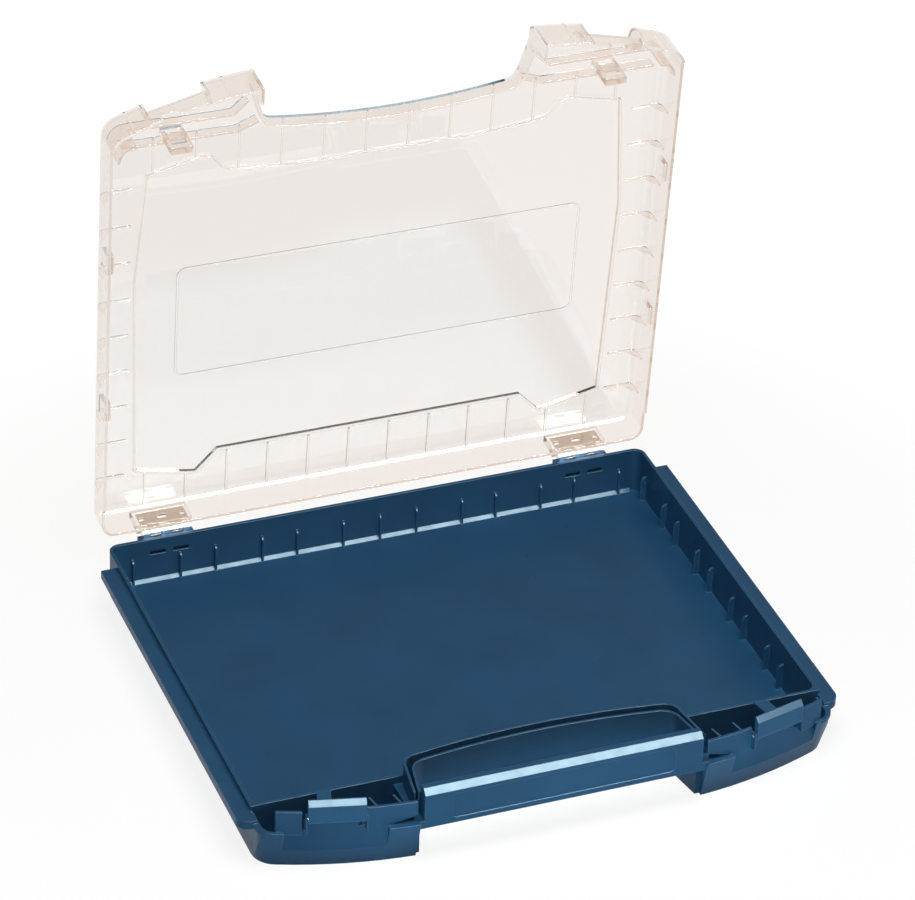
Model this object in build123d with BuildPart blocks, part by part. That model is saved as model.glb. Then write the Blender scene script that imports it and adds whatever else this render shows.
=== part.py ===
from build123d import *
import os
from math import asin, cos, radians, sin, sqrt, tan

# A flat tool case: a blue moulded tray with slide rails and a carry handle, and a clear lid on
# two steel hinges, held shut by two pull latches at the front. Millimetres, +Z up, +Y to the
# hinges, origin at the middle of the underside. The lid stands open.

os.makedirs("parts", exist_ok=True)

# Clearances
seat_gap = 0.3
run_gap = 0.05
slot_gap = 0.1

# Tray
tray_half_width = 174.0
rear_y = 148.7
rim_z = 32.2
wall = 2.0
floor_thickness = 2.5
rear_corner_radius = 7.0
front_corner_radius = 11.0
divider_y = -118.0
divider_thickness = 1.8

# Slide rails along both sides
rail_reach = 9.5
rail_top_z = 28.9
rail_height = 5.4
rail_rear_y = 129.7
rail_front_y = -129.0
rail_end_radius = 8.0

# Bowed front, one shallow arc on each side of the handle
arc_radius = 280.0
arc_center_x = 67.0
arc_crest_y = -160.0
ledge_z = 27.0
front_draft = 15.1
shelf_thickness = 2.2
pod_inner_x = 87.0
pod_margin = 40.0
shelf_inset = 0.5
wing_set_back = 3.8
ear_set_back = 2.3
upper_wall = 1.8
wing_inner_x = 87.9
wing_gap = 1.25
wing_top_z = 40.5
wing_scoop = (15.9, 4.5)
ear_gap = 1.85
ear_width = 13.7
groove_offsets = (-29.4, 28.1)
groove_width = 1.6

# Finger gap, and the double wall behind it
bay_crest_y = -116.1
bay_corner = (78.9, -122.4)
bay_front_x = 84.1
box_crest_y = -108.3
box_corner = (83.2, -115.4)
box_front = (88.3, -150.5)
bay_corner_radius = 10.0
finger_wall_z = 41.7
finger_rim = 1.4

# Carry handle
handle_half_length = 84.2
handle_back_y = -149.7
handle_front_y = -157.0
handle_top_z = 47.5
handle_bottom_z = 22.0
handle_bevel = (3.8, 3.1)
handle_wall = 2.2
label_size = (135.0, 16.6)
label_z = 33.7
label_corner = 3.0
label_depth = 0.4

# Ribs inside the tray
rib_thickness = 1.2
rear_rib_depth = 2.5
side_rib_depth = 3.5
rib_top_z = 20.0
rear_rib_steps = (15.5, 45.6, 67.9, 97.9, 120.2, 150.2, 174.0)
side_rib_first_y = 133.9
side_rib_steps = (0.0, 32.2, 52.2, 84.4, 104.4, 136.6, 156.6, 188.8, 208.8)
floor_cove = 2.0

# Hinges
hinge_y = 154.0
hinge_z = 33.0
hinge_side = 39.0
knuckle_radius = 2.4
pin_radius = 1.0
leaf_thickness = 1.0
end_knuckle = 4.6
middle_knuckle = 7.0
knuckle_gap = 0.15
base_leaf_depth = 13.3
lid_leaf_height = 11.0
leaf_clearance = 0.8
leaf_hole_height = 3.2
leaf_hole_rise = 8.4
leaf_hole_margin = 0.6
barb_size = (6.0, 1.6)
housing_wall = 2.1
housing_y = 156.5
housing_top_z = 29.5
housing_bottom_z = 12.0
barb_slot = (10.0, 2.5)
barb_slot_xs = (-7.3, 7.5)
barb_slot_z = 22.5

# Latches
latch_side = 39.9
latch_half = 16.25
latch_proud = 0.35
latch_bottom_z = 33.7
latch_top_z = 49.3
latch_bevel = (2.7, 3.1)
latch_thickness = 3.4
latch_side_gap = 0.2
latch_notch = (2.0, 4.6)
latch_notch_offset = 14.0
pivot_inset = 2.6
latch_pin_radius = 0.9
arm_bottom_z = 34.8
arm_thickness = 2.8
arm_width = 8.0
arm_slot_side = 1.5
arm_slot_depth = 5.1
arm_slot_top_z = 41.3
nose_bite = 1.1
cheek_thickness = 1.1
cheek_rise = 2.2
cheek_depth = (0.6, 5.2)
spring_wire_radius = 0.3
spring_radius = 1.45
spring_turns = 3
spring_pitch = 1.1
spring_start = -8.0
spring_legs = (2.7, 6.0)

# Lid, sizes as when it is closed
open_angle = 85.2
lid_top_z = 53.0
lid_skin = 1.3
lid_wall = 1.7
lid_rear_gap = 0.5
lid_rear_bottom_z = 31.6
lid_edge_radius = 6.0
lid_corner_radius = 13.0
lid_groove_depth = 0.9
skirt_step = 2.0
lid_notch_step = 0.7
lid_return_x = 85.6
lid_return_back_y = -148.2
lid_recess_inset = 8.0
lid_recess_bottom_z = 37.6
lid_recess_bevel = 3.5
panel_drop = 2.7
panel_rear = ((0, 113.0), (98.0, 113.0), (111.5, 127.5), (118.9, 126.2))
panel_sides = ((24.3, 119.0), (21.5, -21.0), (27.5, -95.5))
panel_front = ((114.7, -102.8), (107.7, -101.4), (99.7, -91.4), (57.0, -87.0), (0, -87.0))
badge_half_width = 127.1
badge_y = (-26.1, 53.2)
badge_corner = 6.0
badge_line = 1.2
badge_height = 0.5
lid_rib_thickness = 1.0
lid_rib_pitch = 26.1
lid_rib_z = 49.8
lid_side_rib_y = 121.2
lid_side_rib_count = 9
lid_side_rib_reach = 18.5
gusset_foot_z = 40.0
gusset_width = 6.3
lid_end_rib_count = 6
lid_rear_rib_y = 116.0
lid_front_rib_y = (-119.5, -86.0)
catch_offset = -0.85
catch_width = 13.1
catch_y = (-127.0, -122.5)
catch_bottom_z = 28.5
catch_bar = 6.0
catch_side = 1.8
catch_pocket_depth = 2.5
catch_pocket_top_z = 48.5
seal_rib_y = -120.5
seal_rib_front_y = -125.0
seal_rib_x = (82.0, 94.0)
seal_rib_z = 44.7
stop_rib_y = -132.0
stop_rib_front_y = -140.0
stop_rib_x = (88.5, 97.0)
stop_rib_z = 45.3
inner_rib_thickness = 1.4
inner_rib_side = 10.0
corner_shield_side = 13.5
corner_shield_y = -122.0
corner_shield_radius = 10.0
corner_shield_z = 27.6
clip_ys = (57.0, -49.5)
clip_size = (13.0, 2.8)
clip_z = (33.0, 43.0)
pocket_side = 2.3
pocket_bottom_z = 36.0
pocket_top_z = 51.0

# Worked out from the sizes above
hinge_x = tray_half_width - hinge_side
latch_x = tray_half_width - latch_side
wing_outer_x = latch_x - latch_half - wing_gap
ear_inner_x = latch_x + latch_half + ear_gap
ear_outer_x = ear_inner_x + ear_width
groove_xs = (latch_x + groove_offsets[0], latch_x + groove_offsets[1])
catch_x = (latch_x + catch_offset - catch_width / 2, latch_x + catch_offset + catch_width / 2)
panel_outline = (
    *panel_rear, *((tray_half_width - gap, y) for gap, y in panel_sides), *panel_front)
hinge_half = end_knuckle + 1.5 * middle_knuckle
knuckle_edges = (-hinge_half, -1.5 * middle_knuckle, -0.5 * middle_knuckle,
                 0.5 * middle_knuckle, 1.5 * middle_knuckle, hinge_half)
leaf_y = hinge_y - knuckle_radius
leaf_slot = (leaf_y - slot_gap, leaf_y + leaf_thickness + slot_gap)
base_leaf_top_z = hinge_z - knuckle_radius - leaf_clearance
lid_leaf_bottom_z = hinge_z + knuckle_radius + leaf_clearance
divider_front_y = divider_y - divider_thickness
step_back = wing_set_back + upper_wall
ledge_foot_z = ledge_z - shelf_thickness
cheek_foot_z = ledge_foot_z - shelf_thickness
arc_center_y = arc_crest_y + arc_radius
lid_half_width = tray_half_width + seat_gap + lid_wall
lid_rear_y = rear_y + lid_rear_gap + lid_wall
lid_under_z = lid_top_z - lid_skin
lid_front_bottom_z = ledge_z + seat_gap
lid_side_rib_x = tray_half_width - lid_side_rib_reach
inner_rib_end_x = tray_half_width - inner_rib_side
panel_top_z = lid_top_z - panel_drop
recess_half = latch_half + latch_side_gap + cheek_thickness + seat_gap
leaf_slot_half = hinge_half + slot_gap
pivot_z = latch_bottom_z + pivot_inset
cheek_start = latch_half + latch_side_gap

# The latch lies along the bowed front, at the slope that the arc has at its middle
latch_angle = asin((latch_x - arc_center_x) / arc_radius)
across = Vector(cos(latch_angle), sin(latch_angle), 0)
inward = Vector(-sin(latch_angle), cos(latch_angle), 0)
latch_corner = Vector(latch_x, arc_center_y - arc_radius * cos(latch_angle), 0) - inward * latch_proud
latch_plan = Plane(origin=latch_corner, x_dir=across, z_dir=(0, 0, 1))
latch_section = Plane(origin=latch_corner, x_dir=inward, z_dir=across)
pivot_line = Plane(
    origin=latch_corner + inward * pivot_inset + Vector(0, 0, pivot_z), x_dir=inward, z_dir=across)
hinge_section = Plane(origin=(hinge_x, hinge_y, hinge_z), x_dir=(0, 1, 0), z_dir=(1, 0, 0))

# The arm of the latch runs straight in from its face, and its nose ends in the middle of the catch
catch_mid_x = (catch_x[0] + catch_x[1]) / 2
nose_y = catch_y[0] + nose_bite
arm_slope = across.Y / inward.Y
nose_depth = (nose_y - latch_corner.Y) / inward.Y
arm_u = (catch_mid_x - latch_corner.X - nose_depth * inward.X) / (across.X - inward.X * arm_slope)
arm_left = arm_u - arm_width / 2
arm_right = arm_u + arm_width / 2

# The lid is drawn closed, on a frame that is swung open about the hinge line
swing = radians(open_angle)
lid_origin = Vector(0, hinge_y - hinge_y * cos(swing) - hinge_z * sin(swing),
                    hinge_z + hinge_y * sin(swing) - hinge_z * cos(swing))
lid_frame = Plane(origin=lid_origin, x_dir=(1, 0, 0), z_dir=(0, sin(swing), cos(swing)))


def front_y(x, inset=0.0):
    """Y of the bowed front, or of a face that far behind it, at x."""
    return arc_center_y - sqrt((arc_radius - inset) ** 2 - (x - arc_center_x) ** 2)


def bowed_face(x_from, x_to, back_y, inset=0.0, corner_radius=0.0):
    """Right-hand outline from the bowed front back to back_y."""
    x_mid = (x_from + x_to) / 2
    corner = (x_to, front_y(x_to, inset))
    with BuildSketch() as outline:
        with BuildLine():
            ThreePointArc((x_from, front_y(x_from, inset)), (x_mid, front_y(x_mid, inset)), corner)
            Polyline(corner, (x_to, back_y), (x_from, back_y), (x_from, front_y(x_from, inset)))
        make_face()
        if corner_radius > 0:
            fillet(outline.vertices().sort_by_distance((*corner, 0))[0], corner_radius)
    return outline.sketch


def bowed_strip(x_from, x_to, inset, thickness):
    """Curved strip of a front wall, at both sides."""
    x_mid = (x_from + x_to) / 2
    back = inset + thickness
    with BuildSketch() as strip:
        with BuildLine():
            ThreePointArc((x_from, front_y(x_from, inset)), (x_mid, front_y(x_mid, inset)),
                          (x_to, front_y(x_to, inset)))
            Line((x_to, front_y(x_to, inset)), (x_to, front_y(x_to, back)))
            ThreePointArc((x_to, front_y(x_to, back)), (x_mid, front_y(x_mid, back)),
                          (x_from, front_y(x_from, back)))
            Line((x_from, front_y(x_from, back)), (x_from, front_y(x_from, inset)))
        make_face()
        mirror(about=Plane.YZ)
    return strip.sketch


def bay_face(crest_y, corner, front_x, front_edge_y):
    """Outline of a finger bay: bowed behind, straight across the front."""
    rise = crest_y - corner[1]
    bow = (corner[0] ** 2 + rise ** 2) / (2 * rise)
    half = corner[0] / 2
    with BuildSketch() as bay:
        with BuildLine():
            ThreePointArc((0, crest_y), (half, crest_y - bow + sqrt(bow ** 2 - half ** 2)), corner)
            Polyline(corner, (front_x, front_edge_y), (0, front_edge_y), (0, crest_y))
        make_face()
        fillet(bay.vertices().sort_by_distance((*corner, 0))[0], bay_corner_radius)
        mirror(about=Plane.YZ)
    return bay.sketch


def slab(outline, z_range, mode=Mode.ADD):
    """Extrude an outline between two heights."""
    with BuildSketch(Plane.XY.offset(z_range[0])) as profile:
        add(outline)
    extrude(profile.sketch, amount=z_range[1] - z_range[0], mode=mode)


def block(x_range, y_range, z_range, mode=Mode.ADD):
    """Rectangular block, at both sides."""
    with BuildSketch(Plane.XY.offset(z_range[0])) as profile:
        with Locations(((x_range[0] + x_range[1]) / 2, (y_range[0] + y_range[1]) / 2)):
            Rectangle(x_range[1] - x_range[0], y_range[1] - y_range[0])
        mirror(about=Plane.YZ)
    extrude(profile.sketch, amount=z_range[1] - z_range[0], mode=mode)


def drafted_pod(inset, bottom_z):
    """Wide block whose bowed front leans inward from the ledge down to bottom_z."""
    lean = (ledge_z - bottom_z) * tan(radians(front_draft))
    with BuildSketch(Plane.XY.offset(ledge_z)) as top:
        add(bowed_face(pod_inner_x - pod_margin, tray_half_width - inset + lean,
                       divider_y + pod_margin, inset, 2 * front_corner_radius))
    extrude(top.sketch, amount=-(ledge_z - bottom_z), taper=front_draft)


def rib_profile(root, depth):
    """Outline of a rib that stands on the floor against a wall at root, with a rounded top."""
    turn = depth * sin(radians(45))
    tip = root - depth
    with BuildSketch() as outline:
        with BuildLine():
            Polyline((root, rib_top_z), (root, floor_thickness), (tip, floor_thickness),
                     (tip, rib_top_z - depth))
            ThreePointArc((tip, rib_top_z - depth), (root - turn, rib_top_z - depth + turn),
                          (root, rib_top_z))
        make_face()
    return outline.sketch


finger_bay = bay_face(bay_crest_y, bay_corner, bay_front_x, handle_back_y)
box_bay = bay_face(box_crest_y, box_corner, *box_front)
lid_bay = bay_face(bay_crest_y - lid_notch_step,
                   (bay_corner[0] - lid_notch_step, bay_corner[1] - lid_notch_step),
                   lid_return_x, lid_return_back_y)

with BuildPart() as pod:
    drafted_pod(0, 0)
    with BuildSketch():
        add(bowed_face(pod_inner_x, tray_half_width, divider_y, 0, front_corner_radius))
        with Locations(((box_corner[0] + pod_inner_x) / 2, (box_front[1] + divider_y) / 2)):
            Rectangle(pod_inner_x - box_corner[0], divider_y - box_front[1])
    extrude(amount=ledge_z, mode=Mode.INTERSECT)

with BuildPart() as pod_hollow:
    drafted_pod(wall, floor_thickness)
    slab(bowed_face(pod_inner_x + wall, tray_half_width - wall, divider_front_y, wall,
                    front_corner_radius - wall),
         (floor_thickness, ledge_z), Mode.INTERSECT)

with BuildSketch() as corner_lip:
    add(bowed_face(ear_outer_x, lid_half_width, rail_front_y, 0, lid_corner_radius))
    add(bowed_face(pod_inner_x, tray_half_width - wall, divider_front_y, wall,
                   front_corner_radius - wall), mode=Mode.SUBTRACT)
    mirror(about=Plane.YZ)

with BuildPart() as base_tray:
    # Box and front pods
    with BuildSketch():
        with Locations((0, (rear_y + divider_front_y) / 2)):
            Rectangle(2 * tray_half_width, rear_y - divider_front_y)
    extrude(amount=rim_z)
    fillet(base_tray.edges().filter_by(Axis.Z).group_by(Axis.Y)[-1], rear_corner_radius)
    add(pod.part)
    mirror(pod.part, about=Plane.YZ)
    add(pod_hollow.part, mode=Mode.SUBTRACT)
    mirror(pod_hollow.part, about=Plane.YZ, mode=Mode.SUBTRACT)

    # Double wall round the finger gap, and the gap itself
    slab(box_bay, (0, finger_wall_z))
    with BuildSketch(Plane.XY.offset(floor_thickness)):
        offset(box_bay, amount=-finger_rim, kind=Kind.INTERSECTION)
        offset(finger_bay, amount=finger_rim, kind=Kind.INTERSECTION, mode=Mode.SUBTRACT)
    extrude(amount=finger_wall_z, mode=Mode.SUBTRACT)

    # Storage cavity
    with BuildSketch(Plane.XY.offset(floor_thickness)) as cavity:
        with Locations((0, (rear_y - wall + divider_y) / 2)):
            Rectangle(2 * (tray_half_width - wall), rear_y - wall - divider_y)
        fillet(cavity.vertices(), rear_corner_radius - wall)
        add(box_bay, mode=Mode.SUBTRACT)
    extrude(amount=rim_z, mode=Mode.SUBTRACT)

    # Handle bar, hollow from below, with its bare label place
    with BuildSketch(Plane.YZ) as handle_profile:
        with BuildLine():
            Polyline((handle_front_y, handle_bottom_z), (handle_back_y, handle_bottom_z),
                     (handle_back_y, handle_top_z), (handle_front_y + handle_bevel[0], handle_top_z),
                     (handle_front_y, handle_top_z - handle_bevel[1]),
                     (handle_front_y, handle_bottom_z))
        make_face()
    extrude(amount=handle_half_length, both=True)
    block((0, handle_half_length - handle_wall), (handle_front_y + handle_wall, handle_back_y - handle_wall),
          (handle_bottom_z, handle_top_z - handle_bevel[1]), Mode.SUBTRACT)
    block((handle_half_length - handle_wall, pod_inner_x), (handle_front_y, handle_back_y),
          (handle_bottom_z, ledge_z))
    with BuildSketch(Plane.XZ.offset(-handle_front_y)):
        with Locations((0, label_z)):
            RectangleRounded(*label_size, label_corner)
    extrude(amount=-label_depth, mode=Mode.SUBTRACT)
    slab(finger_bay, (0, handle_top_z), Mode.SUBTRACT)

    # Open space under the handle
    block((0, pod_inner_x), (arc_crest_y, handle_back_y), (0, handle_bottom_z), Mode.SUBTRACT)

    # Ledges, wings and ears of the front, the lip of each corner and the wall under each latch
    for x_from, x_to, set_back in ((wing_inner_x, wing_outer_x, wing_set_back),
                                   (ear_inner_x, ear_outer_x, ear_set_back)):
        slab(bowed_strip(min(x_from, pod_inner_x), x_to, shelf_inset, step_back - shelf_inset),
             (ledge_foot_z, ledge_z))
        slab(bowed_strip(x_from, x_to, set_back, upper_wall), (ledge_foot_z, wing_top_z))
    slab(corner_lip.sketch, (ledge_foot_z, ledge_z))
    slab(bowed_strip(latch_x - latch_half, latch_x + latch_half, wing_set_back, upper_wall),
         (ledge_foot_z, latch_bottom_z - seat_gap))

    # Notch at the right-hand end of the wall under each latch
    with BuildSketch(Plane.XY.offset(latch_bottom_z - seat_gap)):
        for x in (latch_notch_offset - latch_x, latch_notch_offset + latch_x):
            with Locations((x, front_y(abs(x)))):
                Rectangle(latch_notch[0], 2 * (step_back + wall))
    extrude(amount=-latch_notch[1], mode=Mode.SUBTRACT)

    # Scoop under the inner end of each wing, and the slot that the lid's edge drops into
    with BuildSketch(Plane.XZ.offset(-handle_back_y)):
        with BuildLine():
            Polyline((wing_inner_x, ledge_z + wing_scoop[1]), (wing_inner_x, ledge_z),
                     (wing_inner_x + wing_scoop[0], ledge_z), (wing_inner_x, ledge_z + wing_scoop[1]))
        make_face()
        mirror(about=Plane.YZ)
    extrude(amount=2 * step_back, both=True, mode=Mode.SUBTRACT)
    block((handle_half_length, wing_inner_x), (arc_crest_y, lid_return_back_y + seat_gap),
          (ledge_z, finger_wall_z), Mode.SUBTRACT)

    # Cheeks that carry each latch pin
    for start in (cheek_start, -cheek_start - cheek_thickness):
        with BuildSketch(latch_section.offset(start)):
            with BuildLine():
                Polyline((cheek_depth[0], cheek_foot_z), (cheek_depth[1], cheek_foot_z),
                         (cheek_depth[1], pivot_z + cheek_rise), (cheek_depth[0], pivot_z + cheek_rise),
                         (cheek_depth[0], cheek_foot_z))
            make_face()
            with Locations((pivot_inset, pivot_z)):
                Circle(latch_pin_radius + run_gap, mode=Mode.SUBTRACT)
    cheeks = extrude(amount=cheek_thickness)
    mirror(cheeks, about=Plane.YZ)

    # Between the lid's grooves the front is set back, down to where it meets the leaning face
    slab(bowed_strip(*groove_xs, shelf_inset, step_back - shelf_inset),
         (ledge_z - (wing_set_back - upper_wall / 2) / tan(radians(front_draft)), ledge_z))
    slab(bowed_strip(*groove_xs, -wall, wing_set_back + wall), (0, ledge_foot_z), Mode.SUBTRACT)
    slab(bowed_strip(groove_xs[0], ear_inner_x, -wall, wing_set_back + wall),
         (ledge_foot_z, ledge_z), Mode.SUBTRACT)
    slab(bowed_strip(ear_inner_x, groove_xs[1], -wall, ear_set_back + wall),
         (ledge_foot_z, ledge_z), Mode.SUBTRACT)

    # Slide rails
    with BuildSketch(Plane.XY.offset(rail_top_z - rail_height)):
        with BuildLine():
            Polyline((tray_half_width - wall / 2, rail_rear_y), (tray_half_width + rail_reach, rail_rear_y),
                     (tray_half_width + rail_reach, rail_front_y),
                     (tray_half_width - wall / 2, rail_front_y),
                     (tray_half_width - wall / 2, rail_rear_y))
        face = make_face()
        fillet(face.vertices().sort_by_distance((tray_half_width + rail_reach, rail_front_y, 0))[0],
               rail_end_radius)
        mirror(about=Plane.YZ)
    extrude(amount=rail_height)

    # Ribs of the cavity, and the cove along the foot of the rear wall
    for step in rear_rib_steps:
        for side in (-1, 1):
            with BuildSketch(Plane.YZ.offset(side * (tray_half_width - step) - rib_thickness / 2)):
                add(rib_profile(rear_y - wall, rear_rib_depth))
            extrude(amount=rib_thickness)
    for step in side_rib_steps:
        with BuildSketch(Plane.XZ.offset(step - side_rib_first_y - rib_thickness / 2)):
            add(rib_profile(tray_half_width - wall, side_rib_depth))
            mirror(about=Plane.YZ)
        extrude(amount=rib_thickness)
    with BuildSketch(Plane.YZ):
        with BuildLine():
            Polyline((rear_y - wall, floor_thickness), (rear_y - wall, floor_thickness + floor_cove),
                     (rear_y - wall - floor_cove, floor_thickness), (rear_y - wall, floor_thickness))
        make_face()
    extrude(amount=tray_half_width - rear_corner_radius, both=True)

    # Housings of the hinges behind the rear wall, with a slot for the leaf and windows for its barbs
    housing_half = leaf_slot_half + housing_wall
    block((hinge_x - housing_half, hinge_x + housing_half), (rear_y, housing_y),
          (housing_bottom_z, housing_top_z))
    block((hinge_x - leaf_slot_half, hinge_x + leaf_slot_half), leaf_slot,
          (base_leaf_top_z - base_leaf_depth - seat_gap, housing_top_z), Mode.SUBTRACT)
    for x in barb_slot_xs:
        block((hinge_x + x - barb_slot[0] / 2, hinge_x + x + barb_slot[0] / 2),
              (rear_y - wall, leaf_y), (barb_slot_z - barb_slot[1] / 2, barb_slot_z + barb_slot[1] / 2),
              Mode.SUBTRACT)

base_tray.part.label = "base_tray"
export_step(base_tray.part, "parts/base_tray.step")


def outer_run(edge):
    """Whether an edge belongs to the rear, the sides or the bowed front, not to the finger notch."""
    return edge.center().Y > 0 or abs(edge.center().X) > wing_outer_x


def latch_recess(grow, bottom_z, mode):
    """Notch round each latch, or with growth, the wall round that notch."""
    back = lid_recess_inset + grow
    with BuildSketch(latch_section.offset(-recess_half - grow)) as notch:
        with BuildLine():
            Polyline((-lid_recess_inset, bottom_z), (back, bottom_z), (back, lid_top_z - lid_recess_bevel),
                     (back + lid_recess_bevel, lid_top_z), (-lid_recess_inset, lid_top_z),
                     (-lid_recess_inset, bottom_z))
        make_face()
    right_notch = extrude(notch.sketch, amount=2 * (recess_half + grow), mode=mode)
    mirror(right_notch, about=Plane.YZ, mode=mode)


def thin_wall(points, bottom_z):
    """Wall that hangs from the lid's skin along a line of points, at both sides."""
    with BuildSketch(Plane.XY.offset(bottom_z)) as run:
        with BuildLine():
            Polyline(*points)
        trace(line_width=inner_rib_thickness)
        mirror(about=Plane.YZ)
    extrude(run.sketch, amount=lid_top_z - bottom_z, mode=Mode.SUBTRACT)


def panel_face(grow):
    """Outline of the sunk panel, larger by grow."""
    with BuildSketch() as panel:
        with BuildLine():
            Polyline(*panel_outline, panel_outline[0])
        make_face()
        mirror(about=Plane.YZ)
        if grow > 0:
            offset(amount=grow)
    return panel.sketch


with BuildSketch() as lid_plan:
    add(bowed_face(lid_return_x, lid_half_width, lid_rear_y, 0, lid_corner_radius))
    with Locations((lid_return_x / 2, (lid_rear_y + lid_return_back_y) / 2)):
        Rectangle(lid_return_x, lid_rear_y - lid_return_back_y)
    mirror(about=Plane.YZ)
    add(lid_bay, mode=Mode.SUBTRACT)
    for side in (-1, 1):
        fillet(lid_plan.vertices().sort_by_distance((side * lid_half_width, lid_rear_y, 0))[0],
               rear_corner_radius + lid_wall)

# What is hollow under the lid: ribs, catches and clips are left standing in it
with BuildPart() as lid_hollow:
    with BuildSketch():
        offset(lid_plan.sketch, amount=-lid_wall, kind=Kind.INTERSECTION)
    extrude(amount=lid_under_z)
    fillet(lid_hollow.faces().sort_by(Axis.Z)[-1].edges().filter_by(outer_run),
           lid_edge_radius - lid_wall)
    latch_recess(lid_wall, lid_recess_bottom_z, Mode.SUBTRACT)
    slab(panel_face(lid_skin), (panel_top_z - lid_skin, lid_top_z), Mode.SUBTRACT)

    # Ribs along the sides, with gussets down the skirt
    for k in range(lid_side_rib_count):
        y = lid_side_rib_y - k * lid_rib_pitch
        with BuildSketch(Plane.XZ.offset(-y - lid_rib_thickness / 2)):
            with BuildLine():
                Polyline((lid_side_rib_x, lid_top_z), (lid_side_rib_x, lid_rib_z),
                         (lid_half_width - lid_wall - gusset_width, lid_rib_z),
                         (lid_half_width - lid_wall, gusset_foot_z), (lid_half_width, gusset_foot_z),
                         (lid_half_width, lid_top_z), (lid_side_rib_x, lid_top_z))
            make_face()
            mirror(about=Plane.YZ)
    extrude(amount=lid_rib_thickness, mode=Mode.SUBTRACT)

    # Short ribs behind the front and before the hinges
    for k in range(lid_end_rib_count):
        x = lid_rib_pitch * (k + 0.5)
        for y_range in ((lid_rear_rib_y, lid_rear_y), lid_front_rib_y):
            block((x - lid_rib_thickness / 2, x + lid_rib_thickness / 2), y_range,
                  (lid_rib_z, lid_top_z), Mode.SUBTRACT)

    # Catches, each with a pocket for the nose of its latch
    block(catch_x, catch_y, (catch_bottom_z, lid_top_z), Mode.SUBTRACT)
    block((catch_x[0] + catch_side, catch_x[1] - catch_side), (catch_y[0], catch_y[0] + catch_pocket_depth),
          (catch_bottom_z + catch_bar, catch_pocket_top_z))

    # Walls round the front compartments, and a shield in each front corner
    thin_wall(((seal_rib_x[0], seal_rib_front_y), (seal_rib_x[1], seal_rib_y),
               (inner_rib_end_x, seal_rib_y)), seal_rib_z)
    thin_wall(((stop_rib_x[0], stop_rib_front_y), (stop_rib_x[1], stop_rib_y),
               (inner_rib_end_x, stop_rib_y)), stop_rib_z)
    with BuildSketch(Plane.XY.offset(corner_shield_z)):
        with BuildLine():
            CenterArc((tray_half_width - corner_shield_side, corner_shield_y),
                      corner_shield_radius, -90, 90)
        trace(line_width=inner_rib_thickness)
        mirror(about=Plane.YZ)
    extrude(amount=lid_top_z, mode=Mode.SUBTRACT)

    # Clips inside the side skirts
    for y in clip_ys:
        block((lid_half_width - lid_wall - clip_size[1], lid_half_width),
              (y - clip_size[0] / 2, y + clip_size[0] / 2), clip_z, Mode.SUBTRACT)

# The lid is drawn closed, then swung open
with BuildPart() as closed_lid:
    slab(lid_plan.sketch, (lid_front_bottom_z, lid_top_z))
    fillet(closed_lid.faces().sort_by(Axis.Z)[-1].edges().filter_by(outer_run), lid_edge_radius)
    add(lid_hollow.part, mode=Mode.SUBTRACT)
    latch_recess(0, 0, Mode.SUBTRACT)
    slab(panel_face(0), (panel_top_z, lid_top_z), Mode.SUBTRACT)
    with BuildSketch(latch_plan):
        with Locations((arm_u, lid_recess_inset)):
            Rectangle(arm_width + 2 * arm_slot_side, arm_slot_depth)
    arm_slot = extrude(amount=arm_slot_top_z, mode=Mode.SUBTRACT)
    mirror(arm_slot, about=Plane.YZ, mode=Mode.SUBTRACT)

    # Lower edges step up over the rails, the rear rim and the finger wall
    block((0, lid_half_width), (rail_front_y - skirt_step, rail_rear_y), (0, rail_top_z + seat_gap),
          Mode.SUBTRACT)
    block((0, lid_half_width), (rail_rear_y, lid_rear_y), (0, lid_rear_bottom_z), Mode.SUBTRACT)
    block((0, box_front[0]), (lid_return_back_y, box_crest_y - finger_rim),
          (0, finger_wall_z + seat_gap), Mode.SUBTRACT)
    for x_from, x_to, set_back in ((wing_inner_x, wing_outer_x + seat_gap, wing_set_back),
                                   (ear_inner_x - seat_gap, ear_outer_x, ear_set_back)):
        slab(bowed_strip(x_from, x_to, set_back - seat_gap, upper_wall + 2 * seat_gap),
             (0, wing_top_z + seat_gap), Mode.SUBTRACT)

    # Grooves of the front, and the bare frame of the badge
    for x in groove_xs:
        block((x - groove_width / 2, x + groove_width / 2),
              (front_y(x) - wall, front_y(x) + lid_groove_depth), (0, lid_top_z), Mode.SUBTRACT)
    with BuildSketch(Plane.XY.offset(panel_top_z)):
        with Locations((0, (badge_y[0] + badge_y[1]) / 2)):
            RectangleRounded(2 * badge_half_width, badge_y[1] - badge_y[0], badge_corner)
            RectangleRounded(2 * (badge_half_width - badge_line), badge_y[1] - badge_y[0] - 2 * badge_line,
                             badge_corner - badge_line, mode=Mode.SUBTRACT)
    extrude(amount=badge_height)

    # Pockets behind the rear wall for the leaves of the hinges
    block((hinge_x - hinge_half - pocket_side, hinge_x + hinge_half + pocket_side), (lid_rear_y, housing_y),
          (pocket_bottom_z, pocket_top_z))
    block((hinge_x - leaf_slot_half, hinge_x + leaf_slot_half), leaf_slot,
          (pocket_bottom_z, lid_leaf_bottom_z + lid_leaf_height + seat_gap), Mode.SUBTRACT)

with BuildPart() as lid:
    add(closed_lid.part.moved(lid_frame.location))

lid.part.label = "lid"
export_step(lid.part, "parts/lid.step")


def knuckles(indexes):
    """Hinge barrels between the knuckle edges, bored for the pin, with tabs towards the leaf."""
    for index in indexes:
        x_from = knuckle_edges[index] + (knuckle_gap / 2 if index > 0 else 0)
        x_to = knuckle_edges[index + 1] - (knuckle_gap / 2 if index < 4 else 0)
        with BuildSketch(hinge_section.offset(x_from)) as barrel:
            Circle(knuckle_radius)
            Circle(pin_radius + run_gap, mode=Mode.SUBTRACT)
        extrude(barrel.sketch, amount=x_to - x_from)


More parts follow.
